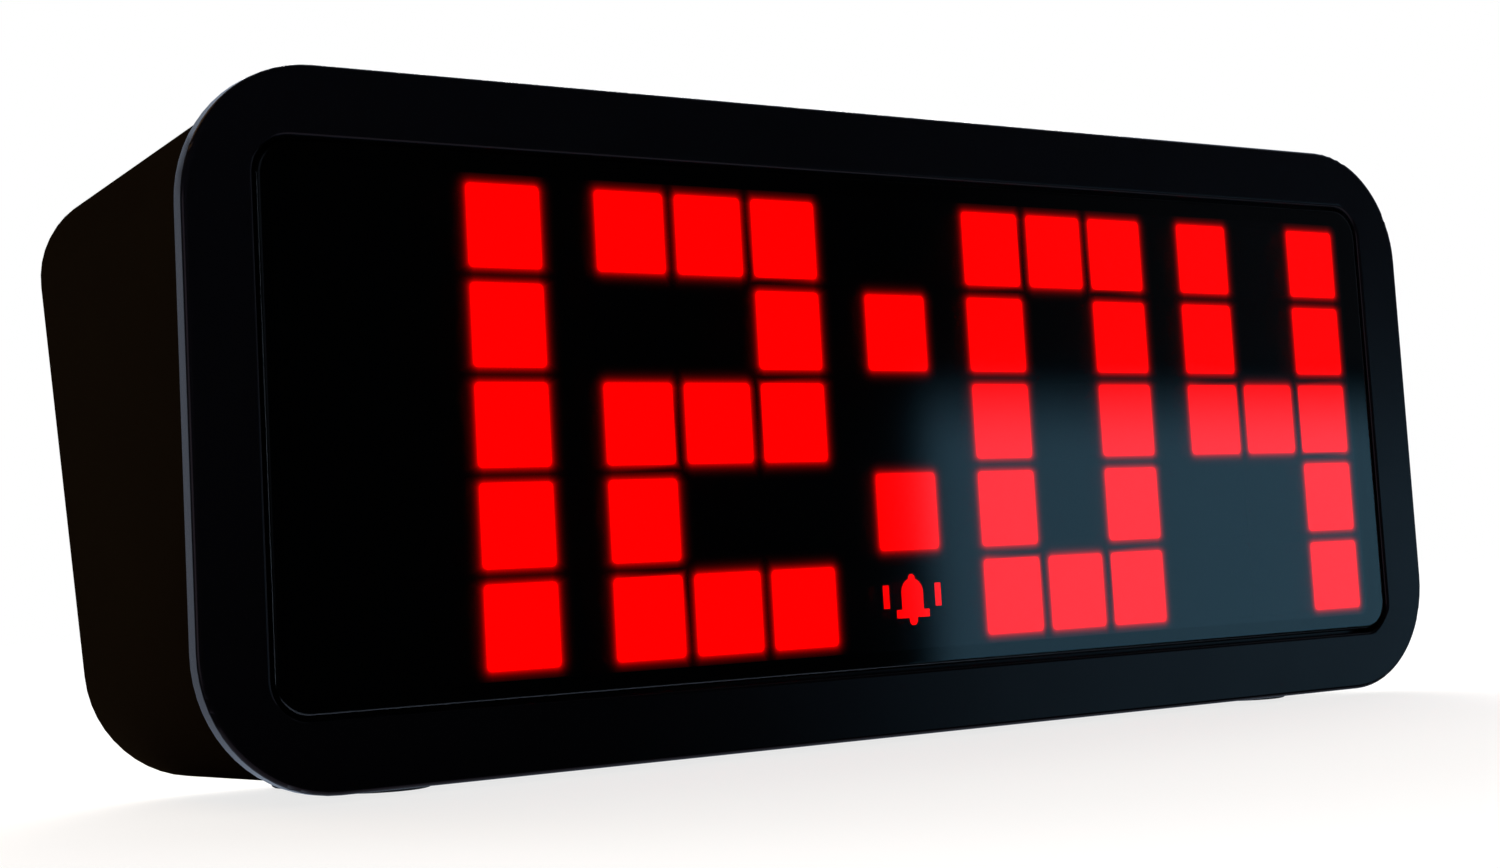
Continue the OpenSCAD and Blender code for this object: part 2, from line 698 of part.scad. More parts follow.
// Sounder disc in its ring behind the grille
module sounder() {
    color([0.06, 0.06, 0.06]) on_back() translate([buzzer_x, buzzer_y, -wall - slack - buzzer_t]) {
        difference() {
            cylinder(h = buzzer_t, r = buzzer_r);
            translate([0, 0, buzzer_t - 1]) cylinder(h = 2, r = buzzer_r - 1.2);
            translate([0, 0, buzzer_t - 3]) cylinder(h = 4, d = 3);
        }
    }
}

// Door of the cell bay, hinged along its upper edge
module battery_door() {
    color([0.07, 0.06, 0.05]) on_back() {
        difference() {
            translate([-door_w / 2, door_low, -door_t]) cube([door_w, hinge_y - door_low, door_t]);
            for (i = [0:3]) translate([-grip[0] / 2, door_low + 3 + i * grip_step, -grip[2]])
                cube([grip[0], grip[1], 1]);
        }
        translate([-door_w / 2, hinge_y, -hinge_r]) rotate([0, 90, 0]) cylinder(h = door_w, r = hinge_r);
        translate([-door_w / 2 - 1.2, hinge_y, -hinge_r]) rotate([0, 90, 0])
            cylinder(h = door_w + 2.4, r = pin_r);
        translate([-latch[0] / 2, bay_low + fit + 0.2, -door_t - latch[2]])
            cube([latch[0], latch[1], latch[2] + 0.1]);
    }
}

// Backup cells with springs and contact plates
module backup_cell() {
    rotate([0, 90, 0]) {
        translate([0, 0, -cell_l / 2]) cylinder(h = cell_l - tip_h, d = cell_d - 2 * slack);
        translate([0, 0, cell_l / 2 - tip_h - 0.1]) cylinder(h = tip_h + 0.1, d = tip_d);
    }
}
cell_off = bay_l / 2 - plate_t - end_gap - cell_l / 2;
module backup_cells() {
    color([0.75, 0.55, 0.2]) on_back() {
        translate([cell_off, cell_y[0], cell_z]) backup_cell();
        translate([-cell_off, cell_y[1], cell_z]) mirror([1, 0, 0]) backup_cell();
    }
}
module contact_plates() {
    color([0.8, 0.8, 0.8]) on_back() {
        for (y = cell_y) {
            translate([bay_l / 2 - plate_t, y - plate_w / 2, bay_z + 0.1])
                cube([plate_t, plate_w, cell_d - 1]);
            translate([bay_l / 2 - plate_t, y - tab_w / 2, bay_z - 2.6]) cube([plate_t, tab_w, 3]);
        }
        translate([-bay_l / 2, cell_y[1] - plate_w / 2, bay_z + 0.1])
            cube([plate_t, cell_y[0] - cell_y[1] + plate_w, cell_d - 1]);
    }
}
// Tube of six or eight sides along a list of points
function unit(v) = v / norm(v);
function ring(p, t, side, r, n) =
    let (u = unit(cross(t, side)), w = cross(unit(t), u))
    [for (i = [0:n - 1]) p + r * (cos(360 * i / n) * u + sin(360 * i / n) * w)];
module tube_along(pts, r, n, side) {
    last = len(pts) - 1;
    rings = [for (i = [0:last]) ring(pts[i], pts[min(i + 1, last)] - pts[max(i - 1, 0)], side, r, n)];
    polyhedron(points = [for (k = rings, p = k) p],
        faces = concat([[for (i = [n - 1:-1:0]) i]],
            [for (j = [0:last - 1], i = [0:n - 1])
                [j * n + i, j * n + (i + 1) % n, (j + 1) * n + (i + 1) % n]],
            [for (j = [0:last - 1], i = [0:n - 1])
                [j * n + i, (j + 1) * n + (i + 1) % n, (j + 1) * n + i]],
            [[for (i = [0:n - 1]) last * n + i]]));
}
coil = [for (i = [0:8 * spring_turns])
    [wire_r + spring_rise * i / (8 * spring_turns), spring_r * cos(45 * i), spring_r * sin(45 * i)]];
module contact_springs() {
    color([0.8, 0.8, 0.8]) on_back() {
        translate([-bay_l / 2 + plate_t, cell_y[0], cell_z]) tube_along(coil, wire_r, 6, [1, 0, 0]);
        translate([bay_l / 2 - plate_t, cell_y[1], cell_z]) rotate(180)
            tube_along(coil, wire_r, 6, [1, 0, 0]);
    }
}

// Flat cable between the two boards, a band of even thickness along a curve
function bend(a, b, c, d, t) =
    pow(1 - t, 3) * a + 3 * t * pow(1 - t, 2) * b + 3 * t * t * (1 - t) * c + t * t * t * d;
cable_x = 20;
cable_z = 12;
cable_w = 12;
cable_t = 0.6;
plug_h = 3;
plug_w = 15;
plug_d = 4;
far_v = mid_depth + key_y * sin(back_tilt) + (key_z - plug_h) * cos(back_tilt);
far_z = key_y * cos(back_tilt) - (key_z - plug_h) * sin(back_tilt);
band = [for (i = [0:10]) bend([board_b + plug_h, cable_z], [board_b + plug_h + 5, cable_z],
    [far_v - 5 * cos(back_tilt), far_z + 5 * sin(back_tilt)], [far_v, far_z], i / 10)];
function across(i) = let (t = unit(band[min(i + 1, 10)] - band[max(i - 1, 0)])) [-t[1], t[0]];
module ribbon_cable() {
    color([0.6, 0.6, 0.62]) translate([cable_x - cable_w / 2, y_front, z_mid]) rotate([90, 0, 90])
        linear_extrude(cable_w) polygon(concat([for (i = [0:10]) band[i] + cable_t / 2 * across(i)],
            [for (i = [10:-1:0]) band[i] - cable_t / 2 * across(i)]));
}
module cable_plugs() {
    color([0.9, 0.9, 0.86]) {
        face_frame() translate([cable_x - plug_w / 2, -cable_z - plug_d / 2, board_b])
            cube([plug_w, plug_d, plug_h]);
        on_back() translate([-cable_x - plug_w / 2, key_y - plug_d / 2, key_z - plug_h])
            cube([plug_w, plug_d, plug_h]);
    }
}
// Leads from a place on the back frame, given as x, y, z there, to the display board
function from_back(p) = [-p[0], y_front + mid_depth + p[1] * sin(back_tilt) + p[2] * cos(back_tilt),
    z_mid + p[1] * cos(back_tilt) - p[2] * sin(back_tilt)];
lead_r = 0.6;
module lead(p, drop) {
    a = from_back(p);
    b = from_back(p + [0, 0, -5]);
    d = [a[0] + drop[0], y_front + board_b + 0.02, a[2] + drop[1]];
    c = d + [0, 5, 0];
    tube_along([for (i = [0:10]) bend(a, b, c, d, i / 10)], lead_r, 8, [1, 0.02, 0.3]);
}
module sounder_leads() {
    color([0.6, 0.1, 0.1]) for (s = [-1, 1])
        lead([buzzer_x + s * 2.5, buzzer_y, -wall - slack - buzzer_t - 0.02], [-4, 3]);
}
module battery_leads() {
    color([0.1, 0.1, 0.1]) for (y = cell_y)
        lead([bay_l / 2 - plate_t / 2, y, bay_z - 2.62], [4, 2]);
}

// Rubber feet, and the two sets of screws
module rubber_feet() {
    color([0.03, 0.03, 0.03]) for (x = [-1, 1], v = foot_v) translate([x * foot_x, y_front + v, 0]) {
        translate([0, 0, foot_edge]) cylinder(h = shell_low + foot_sink - foot_edge, r = foot_r);
        cylinder(h = foot_edge + 0.01, r1 = foot_r - foot_edge, r2 = foot_r);
    }
}
module case_screws() {
    color([0.55, 0.55, 0.57]) for (x = [-1, 1], z = [-1, 1])
        translate([x * case_x, y_front + case_seat, z_mid + z * case_z]) rotate([-90, 0, 0])
            pan_screw(case_d, case_head, case_seat - lens_b - 2.2);
}
module board_screws() {
    color([0.55, 0.55, 0.57]) {
        for (x = [-1, 1], z = [-1, 1]) face_frame() translate([x * stud_x, z * stud_z, board_b])
            pan_screw(screw_d, screw_head, screw_l);
        on_back() for (x = key_post_x) translate([x, key_y, key_z]) rotate([180, 0, 0])
            pan_screw(screw_d, screw_head, screw_l);
        on_top() for (x = [-1, 1]) translate([x * snooze_post_x, snooze_y, snooze_board_z])
            rotate([180, 0, 0]) pan_screw(screw_d, screw_head, screw_l);
    }
}

front_bezel();
display_lens();
light_mask();
lit_cells();
unlit_cells();
bell_cell();
display_board();
display_leds();
control_chip();
timing_crystal();
board_capacitors();
rear_shell();
snooze_bar();
snooze_board();
snooze_switch();
key_board();
key_switches();
alarm_switch();
time_button();
alarm_button();
hour_button();
minute_button();
alarm_slide();
power_inlet();
inlet_pin();
sounder();
battery_door();
backup_cells();
contact_plates();
contact_springs();
ribbon_cable();
cable_plugs();
sounder_leads();
battery_leads();
rubber_feet();
case_screws();
board_screws();
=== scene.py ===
# %% [markdown]
# # A digital alarm clock with block digits
# A bedside clock: a satin black front frame holds a dark glossy window, and behind the window
# square cells of red light make the digits. A textured shell closes the back, with a snooze bar
# on the top, and buttons, a slide and a battery door behind.
# The CAD frame already has every solid in its place. This lesson gives each one its finish,
# rebuilds the pieces that need more form than the solids have, and sets up camera and light.

import json
import math

import bmesh
import bpy
from mathutils import Matrix, Vector


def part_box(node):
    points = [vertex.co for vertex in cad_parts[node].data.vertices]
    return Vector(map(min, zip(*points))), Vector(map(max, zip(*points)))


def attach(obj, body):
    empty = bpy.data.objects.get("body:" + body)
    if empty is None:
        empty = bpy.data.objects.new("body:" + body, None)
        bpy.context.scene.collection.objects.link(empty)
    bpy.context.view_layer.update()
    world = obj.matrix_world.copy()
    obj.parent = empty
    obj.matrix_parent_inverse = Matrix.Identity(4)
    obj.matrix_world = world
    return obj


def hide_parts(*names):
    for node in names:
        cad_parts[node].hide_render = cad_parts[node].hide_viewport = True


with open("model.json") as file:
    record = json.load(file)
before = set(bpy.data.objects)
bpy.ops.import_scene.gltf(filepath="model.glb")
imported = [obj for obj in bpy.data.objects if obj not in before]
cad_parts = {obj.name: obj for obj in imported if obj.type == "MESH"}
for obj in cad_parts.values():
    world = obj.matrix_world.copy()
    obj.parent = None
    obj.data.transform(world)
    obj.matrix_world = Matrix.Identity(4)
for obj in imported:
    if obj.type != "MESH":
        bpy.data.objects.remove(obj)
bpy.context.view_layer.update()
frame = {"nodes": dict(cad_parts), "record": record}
MM = 0.001
scene = bpy.context.scene
scene.view_settings.view_transform = "Standard"

# %% [markdown]
# ## Camera
# The picture was taken from near the clock, low down and well to its left, so the
# far end looks much smaller. The place and the lens were worked out from the corners of the light
# cells, which stand on an even grid. A little shift brings the clock to the middle of the frame.

# %% Camera
CAMERA_PLACE = Vector((-164.78, -217.68, 16.22)) * MM
CAMERA_RIGHT = Vector((0.80698, -0.58781, -0.05704))
CAMERA_UP = Vector((-0.01191, -0.11276, 0.99355))
FOCAL_PX = 2450
AXIS_ABOVE_MIDDLE_PX = 84
IMAGE_W_PX = 1500
SENSOR_W = 36

camera_data = bpy.data.cameras.new("camera")
camera_data.sensor_width = SENSOR_W
camera_data.lens = FOCAL_PX / IMAGE_W_PX * SENSOR_W
camera_data.shift_y = -AXIS_ABOVE_MIDDLE_PX / IMAGE_W_PX
camera_data.clip_start = 0.01
camera = bpy.data.objects.new("camera", camera_data)
turn = Matrix((CAMERA_RIGHT, CAMERA_UP, CAMERA_RIGHT.cross(CAMERA_UP))).transposed()
camera.matrix_world = Matrix.Translation(CAMERA_PLACE) @ turn.to_4x4()
scene.collection.objects.link(camera)
scene.camera = camera
print("camera lens", round(camera_data.lens, 1), "mm, shift", round(camera_data.shift_y, 3))

# %% [markdown]
# ## Small helpers
# Colours are written as the hex values a picture editor shows, and the shader wants linear light,
# so one function turns the one into the other. A second adds a node, sets it up and links it, so
# that a material reads as a short list of what feeds what. The third starts a material, and the
# last turns a bmesh into a mesh, which every new piece ends with.

# %% Colour and node helpers
def linear(code):
    """sRGB hex to linear RGBA."""
    parts = [int(code[i : i + 2], 16) / 255 for i in (1, 3, 5)]
    curve = [c / 12.92 if c <= 0.04045 else ((c + 0.055) / 1.055) ** 2.4 for c in parts]
    return (*curve, 1.0)


def add(tree, kind, inputs=None, **settings):
    """Adds a shader node, with its settings and with values or links on its inputs."""
    node = tree.nodes.new("ShaderNode" + kind)
    for name, value in settings.items():
        setattr(node, name, value)
    for socket, value in (inputs or {}).items():
        if isinstance(value, bpy.types.NodeSocket):
            tree.links.new(value, node.inputs[socket])
        else:
            node.inputs[socket].default_value = value
    return node


def start_finish(name, **sockets):
    """A Principled material with these values on its sockets."""
    material = bpy.data.materials.new(name)
    material.use_nodes = True
    shader = material.node_tree.nodes["Principled BSDF"]
    for socket, value in sockets.items():
        shader.inputs[socket.replace("_", " ")].default_value = value
    return material, material.node_tree, shader


def mesh_from(bm, name):
    """The bmesh as a named mesh; the bmesh itself is freed."""
    mesh = bpy.data.meshes.new(name)
    bm.to_mesh(mesh)
    bm.free()
    return mesh


print("helpers ready")

# %% [markdown]
# ## Floor, backdrop and light
# The clock stands on plain white, so the floor and the world are white where the camera sees them.
# The floor keeps a share of its own shading near the clock, so the soft shadow under the case stays.
# Reflections are another matter: the room in front of the clock was dark, or the window would not
# look so black. So mirror rays pass the floor by, and the world that they meet is dim in front. It is
# white behind, where the backdrop stands, and bright on the right beside it. Fainter glows from the
# table below and from a narrow stretch on the left miss the flat faces and draw thin lines on the
# rounded edges. One straight in front shows the gloss of the window to whoever looks from there, and
# one on the right leaves a haze on the far end of the window. Diffuse light comes from the right
# rear, with a warm tone on the left.

# %% Floor
SHADOW_SHARE = 0.3
SHADOW_NEAR, SHADOW_FAR = 0.09, 0.2
PAPER_GLOW = 1.12
FLOOR_HALF = 3.0

paper, tree, shader = start_finish("matt_white_paper", Roughness=0.9, Base_Color=linear("#f4f4f4"))
coords = add(tree, "TexCoord")
reach = add(tree, "VectorMath", {0: coords.outputs["Object"]}, operation="LENGTH")
fade = add(tree, "MapRange", {"Value": reach.outputs["Value"], "From Min": SHADOW_NEAR,
                              "From Max": SHADOW_FAR, "To Min": 1 - SHADOW_SHARE, "To Max": 1.0},
           interpolation_type="SMOOTHSTEP")
path = add(tree, "LightPath")
shown = add(tree, "Math", {0: path.outputs["Is Camera Ray"], 1: fade.outputs["Result"]},
            operation="MULTIPLY")
white = add(tree, "Emission", {"Color": (1, 1, 1, 1), "Strength": PAPER_GLOW})
mixed = add(tree, "MixShader", {0: shown.outputs[0], 1: shader.outputs[0], 2: white.outputs[0]})
tree.links.new(mixed.outputs[0], tree.nodes["Material Output"].inputs["Surface"])

bm = bmesh.new()
bmesh.ops.create_grid(bm, x_segments=1, y_segments=1, size=FLOOR_HALF)
floor_mesh = mesh_from(bm, "floor")
floor_mesh.materials.append(paper)
floor = bpy.data.objects.new("floor", floor_mesh)
floor.visible_glossy = False
floor.visible_transmission = False
scene.collection.objects.link(floor)
print("floor laid, its shadow fades out at", SHADOW_FAR, "m")

# %% World
world = bpy.data.worlds.new("studio")
scene.world = world
world.use_nodes = True
tree = world.node_tree
room = tree.nodes["Background"]
ray = add(tree, "TexCoord").outputs["Generated"]
sides = add(tree, "SeparateXYZ", {0: ray})
path = add(tree, "LightPath")


def lobe(tree, ray, side, span, levels):
    """Light that goes from one level to another as a ray's direction comes close to a side."""
    toward = add(tree, "VectorMath", {0: ray, 1: side}, operation="DOT_PRODUCT")
    return add(tree, "MapRange", {"Value": toward.outputs["Value"], "From Min": span[0],
                                  "From Max": span[1], "To Min": levels[0], "To Max": levels[1]},
               interpolation_type="SMOOTHSTEP")


print("world:", world.name)

# %% What mirror rays meet
BRIGHT_SIDE, BRIGHT_SPAN = (0.80, 0.55, 0.24), (0.5, 0.95)
MIRROR_DIM, MIRROR_BRIGHT = 0.006, 0.7
TABLE_GLOW, TABLE_FULL, TABLE_END = 0.7, -0.75, -0.5
# For each glow its side, the span of closeness over which it grows, and its strength.
GLOWS = {
    "left": ((-0.975, -0.22, 0.03), (0.93, 0.975), 1.3),
    "front": ((-0.24, -0.90, 0.36), (0.9, 0.99), 0.14),
    "right": ((0.86, -0.49, 0.12), (0.92, 0.99), 0.05),
    "backdrop": ((0, 1, 0), (0.6, 0.97), 1.0),
}

room_glow = lobe(tree, ray, BRIGHT_SIDE, BRIGHT_SPAN, (MIRROR_DIM, MIRROR_BRIGHT))
glows = [lobe(tree, ray, side, span, (0.0, glow)) for side, span, glow in GLOWS.values()]
glows.append(add(tree, "MapRange", {"Value": sides.outputs["Z"], "From Min": TABLE_FULL,
                                    "From Max": TABLE_END, "To Min": TABLE_GLOW, "To Max": 0.0},
                 interpolation_type="SMOOTHSTEP"))
for glow in glows:
    room_glow = add(tree, "Math", {0: room_glow.outputs[0], 1: glow.outputs[0]}, operation="MAXIMUM")
print("mirror rays meet", MIRROR_DIM, "to", MIRROR_BRIGHT, "and glows:", ", ".join(GLOWS), "and table")

# %% Strength of the world for each kind of ray
REAR_SIDE, REAR_SPAN = (0.40, 0.87, 0.28), (0.45, 0.95)
DIFFUSE_FRONT, DIFFUSE_BACK = 0.2, 4.4

gloss_ray = add(tree, "Math", {0: path.outputs["Is Glossy Ray"],
                               1: path.outputs["Is Transmission Ray"]}, operation="MAXIMUM")
window_side = lobe(tree, ray, REAR_SIDE, REAR_SPAN, (DIFFUSE_FRONT, DIFFUSE_BACK))
mirrored = add(tree, "Mix", {"Factor": gloss_ray.outputs[0], "A": window_side.outputs["Result"],
                             "B": room_glow.outputs[0]}, data_type="FLOAT")
back_half = add(tree, "Math", {0: sides.outputs["Y"], 1: 0.0}, operation="GREATER_THAN")
through = add(tree, "Math", {0: path.outputs["Is Transmission Ray"], 1: back_half.outputs[0]},
              operation="MULTIPLY")
seen = add(tree, "Math", {0: path.outputs["Is Camera Ray"], 1: through.outputs[0]},
           operation="MAXIMUM")
level = add(tree, "Mix", {"Factor": seen.outputs[0], "A": mirrored.outputs["Result"], "B": 1.0},
            data_type="FLOAT")
tree.links.new(level.outputs["Result"], room.inputs["Strength"])
print("diffuse rays get", DIFFUSE_FRONT, "from the front and", DIFFUSE_BACK, "from the rear")

# %% Tone of the world
WHITE_LIGHT = linear("#ffffff")
COOL_LIGHT, WARM_LIGHT = linear("#d3e5ff"), linear("#ffca88")
WARM_UP_TO, WHITE_FROM = -0.6, 0.4

rightward = add(tree, "MapRange", {"Value": sides.outputs["X"], "From Min": WARM_UP_TO,
                                   "From Max": WHITE_FROM}, interpolation_type="SMOOTHSTEP")
side_tone = add(tree, "Mix", {"Factor": rightward.outputs["Result"], "A": WARM_LIGHT,
                              "B": WHITE_LIGHT}, data_type="RGBA")
lit_tone = add(tree, "Mix", {"Factor": gloss_ray.outputs[0], "A": side_tone.outputs["Result"],
                             "B": COOL_LIGHT}, data_type="RGBA")
tone = add(tree, "Mix", {"Factor": seen.outputs[0], "A": lit_tone.outputs["Result"],
                         "B": WHITE_LIGHT}, data_type="RGBA")
tree.links.new(tone.outputs["Result"], room.inputs["Color"])
print("world tones: warm on the left, white on the right, cool in mirrors")

# %% [markdown]
# ## Lamps
# A weak warm lamp above on the left grazes the top and side of the shell, and a stronger one behind
# on the right shows the rear controls in views from that side.
# The window mirrors a patch of cool daylight in its lower right. That patch is a soft box: a card
# with its own glow that fades towards its edges, because a bare lamp would show a hard outline in
# the gloss. It stands where a line from the camera, mirrored by the window, meets it.

# %% Lamps
def soft_lamp(name, place, target, size, power, code):
    """A rectangular area lamp at place, in metres, aimed at target."""
    data = bpy.data.lights.new(name, "AREA")
    data.shape = "RECTANGLE"
    data.size, data.size_y = size
    data.energy = power
    data.color = linear(code)[:3]
    lamp = bpy.data.objects.new(name, data)
    lamp.location = place
    lamp.rotation_euler = (Vector(target) - Vector(place)).to_track_quat("-Z", "Y").to_euler()
    lamp.visible_camera = False
    scene.collection.objects.link(lamp)


MIDDLE = (0, 0, 0.033)
soft_lamp("warm_top_left", (-0.65, 0.45, 0.95), MIDDLE, (0.5, 0.5), 1.0, "#ffcf8f")
soft_lamp("rear_right", (0.7, 1.0, 0.35), MIDDLE, (0.6, 0.4), 18, "#fff6ec")

# %% Soft box that the window mirrors
BOX_MIDDLE = Vector((0.805, -0.610, -0.035))
BOX_HALF = (0.315, 0.145)
BOX_EDGE = {"X": 0.08, "Z": 0.3}
BOX_GLOW = 1.1

daylight, tree, shader = start_finish("daylight_card")
coords = add(tree, "TexCoord")
place = add(tree, "Mapping", {"Vector": coords.outputs["Object"],
                              "Scale": (1 / BOX_HALF[0], 1, 1 / BOX_HALF[1])}, vector_type="POINT")
away = add(tree, "VectorMath", {0: place.outputs[0]}, operation="ABSOLUTE")
parts = add(tree, "SeparateXYZ", {0: away.outputs[0]})
edges = [add(tree, "MapRange", {"Value": parts.outputs[k], "From Min": 1 - BOX_EDGE[k],
                                "From Max": 1.0, "To Min": 1.0, "To Max": 0.0},
             interpolation_type="SMOOTHSTEP") for k in BOX_EDGE]
soft = add(tree, "Math", {0: edges[0].outputs["Result"], 1: edges[1].outputs["Result"]},
           operation="MULTIPLY")
power = add(tree, "Math", {0: soft.outputs[0], 1: BOX_GLOW}, operation="MULTIPLY")
glow = add(tree, "Emission", {"Color": linear("#94d9ff"), "Strength": power.outputs[0]})
tree.links.new(glow.outputs[0], tree.nodes["Material Output"].inputs["Surface"])

bm = bmesh.new()
bmesh.ops.create_grid(bm, x_segments=1, y_segments=1, size=1.0,
                      matrix=Matrix.Rotation(math.pi / 2, 4, "X"))
bmesh.ops.scale(bm, vec=(BOX_HALF[0], 1, BOX_HALF[1]), verts=bm.verts)
card_mesh = mesh_from(bm, "soft_box")
card_mesh.materials.append(daylight)
card = bpy.data.objects.new("soft_box", card_mesh)
card.location = BOX_MIDDLE
card.visible_camera = False
card.visible_shadow = False
scene.collection.objects.link(card)
print("soft box at", [round(v, 3) for v in BOX_MIDDLE])

# %% [markdown]
# ## Moulded black plastics
# The front frame is ABS from a fine-ground mould: nearly smooth, with a very slight orange peel
# that breaks up the highlight. Its colour is black with a blue cast, and the blue cast is a painted
# sheen of bluish light from below and to the right. The shell is ABS from a spark-eroded mould:
# an even grain of tiny pits that scatters light, so it looks dull and a little brown. Both could be
# one flat colour, but the grain is what tells them apart, so each gets a bump of its real size.

# %% A moulded plastic with a grain
def moulded(name, dark, light, rough, grain_mm, depth_mm, patch_mm=14.0, spread=0.06, **sockets):
    """ABS with a moulded grain of grain_mm and slow changes of tone and gloss over patch_mm."""
    material, tree, shader = start_finish(name, **sockets)
    coords = add(tree, "TexCoord")
    patch = add(tree, "TexNoise", {"Vector": coords.outputs["Object"], "Detail": 3.0,
                                   "Scale": 1 / (patch_mm * MM)})
    grain = add(tree, "TexNoise", {"Vector": coords.outputs["Object"], "Detail": 2.0,
                                   "Scale": 1 / (grain_mm * MM)})
    tone = add(tree, "Mix", {"Factor": patch.outputs["Fac"], "A": linear(dark), "B": linear(light)},
               data_type="RGBA")
    gloss = add(tree, "MapRange", {"Value": patch.outputs["Fac"], "From Min": 0.3, "From Max": 0.7,
                                   "To Min": rough - spread, "To Max": rough + spread})
    pits = add(tree, "Bump", {"Height": grain.outputs["Fac"], "Distance": depth_mm * MM,
                              "Strength": 1.0})
    tree.links.new(tone.outputs["Result"], shader.inputs["Base Color"])
    tree.links.new(gloss.outputs["Result"], shader.inputs["Roughness"])
    tree.links.new(pits.outputs["Normal"], shader.inputs["Normal"])
    return material


# Fine-ground mould: close to smooth, so a soft sheen runs along the rounded edges.
# Its base is black with a blue cast; the blue is a painted sheen of bluish light.
satin_abs_painted_blue_sheen = moulded("satin_abs_painted_blue_sheen", "#05080f", "#060a12", 0.24, 0.7, 0.004, spread=0.02,
                    Specular_IOR_Level=0.2, Specular_Tint=linear("#ffd2d0"))
# Spark-eroded mould: dull and warm, with a grain that just shows. Its gloss is taken off altogether,
# because even a trace of it turned the dark brown grey beside a white background.
spark_abs = moulded("spark_textured_abs", "#100c08", "#130f09", 0.62, 0.45, 0.03, spread=0.03,
                    Specular_IOR_Level=0.0)
# Buttons and snooze bar: a touch lighter and glossier than the shell, from a blasted mould.
key_abs = moulded("blasted_key_abs", "#131313", "#171717", 0.46, 0.5, 0.008, spread=0.04)
# The grid behind the window: matt, so that no light strays from one cell to the next.
mask_abs = moulded("matt_mask_abs", "#040405", "#060607", 0.7, 0.6, 0.01)
# Housings of sockets, switches, chips and sounder: plain dull black.
housing_abs = moulded("moulded_housing_plastic", "#111214", "#17181a", 0.5, 0.4, 0.01)
# White insulating plastic of light chips and plugs.
white_nylon = moulded("white_nylon", "#d6d2c4", "#e4e1d6", 0.5, 0.5, 0.01)
print("plastics made:", satin_abs_painted_blue_sheen.name, spark_abs.name, key_abs.name, mask_abs.name)

# %% [markdown]
# ## The window
# The window is a sheet of smoke-tinted acrylic. It is clear enough for the lit cells to shine
# through at full strength, and so dark that everything unlit behind it vanishes. Its surface is
# polished, with the very slight waviness of a moulded sheet, so that reflections wander a little.

# %% Tinted acrylic
WAVE_MM, WAVE_DEPTH_MM = 30.0, 0.02

tinted, tree, shader = start_finish("smoke_tinted_acrylic", Base_Color=linear("#67676c"), IOR=1.49,
                                    Transmission_Weight=1.0, Roughness=0.06)
coords = add(tree, "TexCoord")
waves = add(tree, "TexNoise", {"Vector": coords.outputs["Object"], "Scale": 1 / (WAVE_MM * MM),
                               "Detail": 1.0})
wavy = add(tree, "Bump", {"Height": waves.outputs["Fac"], "Distance": WAVE_DEPTH_MM * MM,
                          "Strength": 1.0})
tree.links.new(wavy.outputs["Normal"], shader.inputs["Normal"])
print("window tint:", [round(v, 3) for v in shader.inputs["Base Color"].default_value[:3]])

# %% [markdown]
# ## Resin of the light cells
# Each cell is filled with milky epoxy that spreads the light of the chip behind it, so a lit square
# has the same strength all over. Through the tint it has to reach the full red of the picture, so
# the glow is several times stronger than white paper. Unlit resin is dark and stays unseen.

# %% Lit and dark resin
LIT_STRENGTH = 10.0
CLOUD_MM = 4.0

lit_resin, tree, shader = start_finish("lit_milky_epoxy", Base_Color=linear("#8c0404"), Roughness=0.4,
                                       Emission_Strength=LIT_STRENGTH)
coords = add(tree, "TexCoord")
cloud = add(tree, "TexNoise", {"Vector": coords.outputs["Object"], "Scale": 1 / (CLOUD_MM * MM)})
red = add(tree, "Mix", {"Factor": cloud.outputs["Fac"], "A": (0.97, 0.0, 0.0, 1),
                        "B": (1.0, 0.0, 0.0, 1)}, data_type="RGBA")
tree.links.new(red.outputs["Result"], shader.inputs["Emission Color"])
dark_resin = moulded("dark_milky_epoxy", "#070404", "#0a0505", 0.45, 1.2, 0.004)
print("lit cells glow at", LIT_STRENGTH)

# %% [markdown]
# ## Metals, rubber, boards and leads
# These sit inside or show only in small places, but each still has the surface that its making
# leaves: drawn steel has fine streaks, zinc has a frosty mottle, a circuit board has copper tracks
# under green lacquer, and a flat cable is a row of round wires.

# %% Metals
def plated(name, dark, light, rough, streak_mm):
    """Metal with fine streaks of tone and gloss."""
    material, tree, shader = start_finish(name, Metallic=1.0)
    coords = add(tree, "TexCoord")
    long = add(tree, "Mapping", {"Vector": coords.outputs["Object"], "Scale": (0.2, 1.0, 1.0)})
    streak = add(tree, "TexNoise", {"Vector": long.outputs[0], "Detail": 4.0,
                                    "Scale": 1 / (streak_mm * MM)})
    tone = add(tree, "Mix", {"Factor": streak.outputs["Fac"], "A": linear(dark), "B": linear(light)},
               data_type="RGBA")
    gloss = add(tree, "MapRange", {"Value": streak.outputs["Fac"], "To Min": rough - 0.1,
                                   "To Max": rough + 0.1})
    tree.links.new(tone.outputs["Result"], shader.inputs["Base Color"])
    tree.links.new(gloss.outputs["Result"], shader.inputs["Roughness"])
    return material


# Zinc plate: greyish and slightly frosty.
zinc_steel = plated("zinc_plated_steel", "#8d9094", "#b4b7ba", 0.38, 0.5)
# Nickel plate on springs, contacts, cans and the crystal: bright and slightly warm.
nickel_steel = plated("nickel_plated_steel", "#b3b0a8", "#d2cfc6", 0.25, 0.4)
# Brass pin of the power socket.
brass = plated("turned_brass", "#b08b45", "#d0ab62", 0.3, 0.3)
print("metals made:", zinc_steel.name, nickel_steel.name, brass.name)

# %% Rubber, circuit board and sleeves
# Rubber: dead matt, with a dusty bloom.
rubber = moulded("moulded_rubber", "#0a0a0a", "#131313", 0.85, 0.3, 0.012)
# Shrink sleeve of the capacitors: blue film, smooth and glossy.
blue_sleeve = moulded("blue_shrink_sleeve", "#10183c", "#16204a", 0.3, 2.0, 0.005)
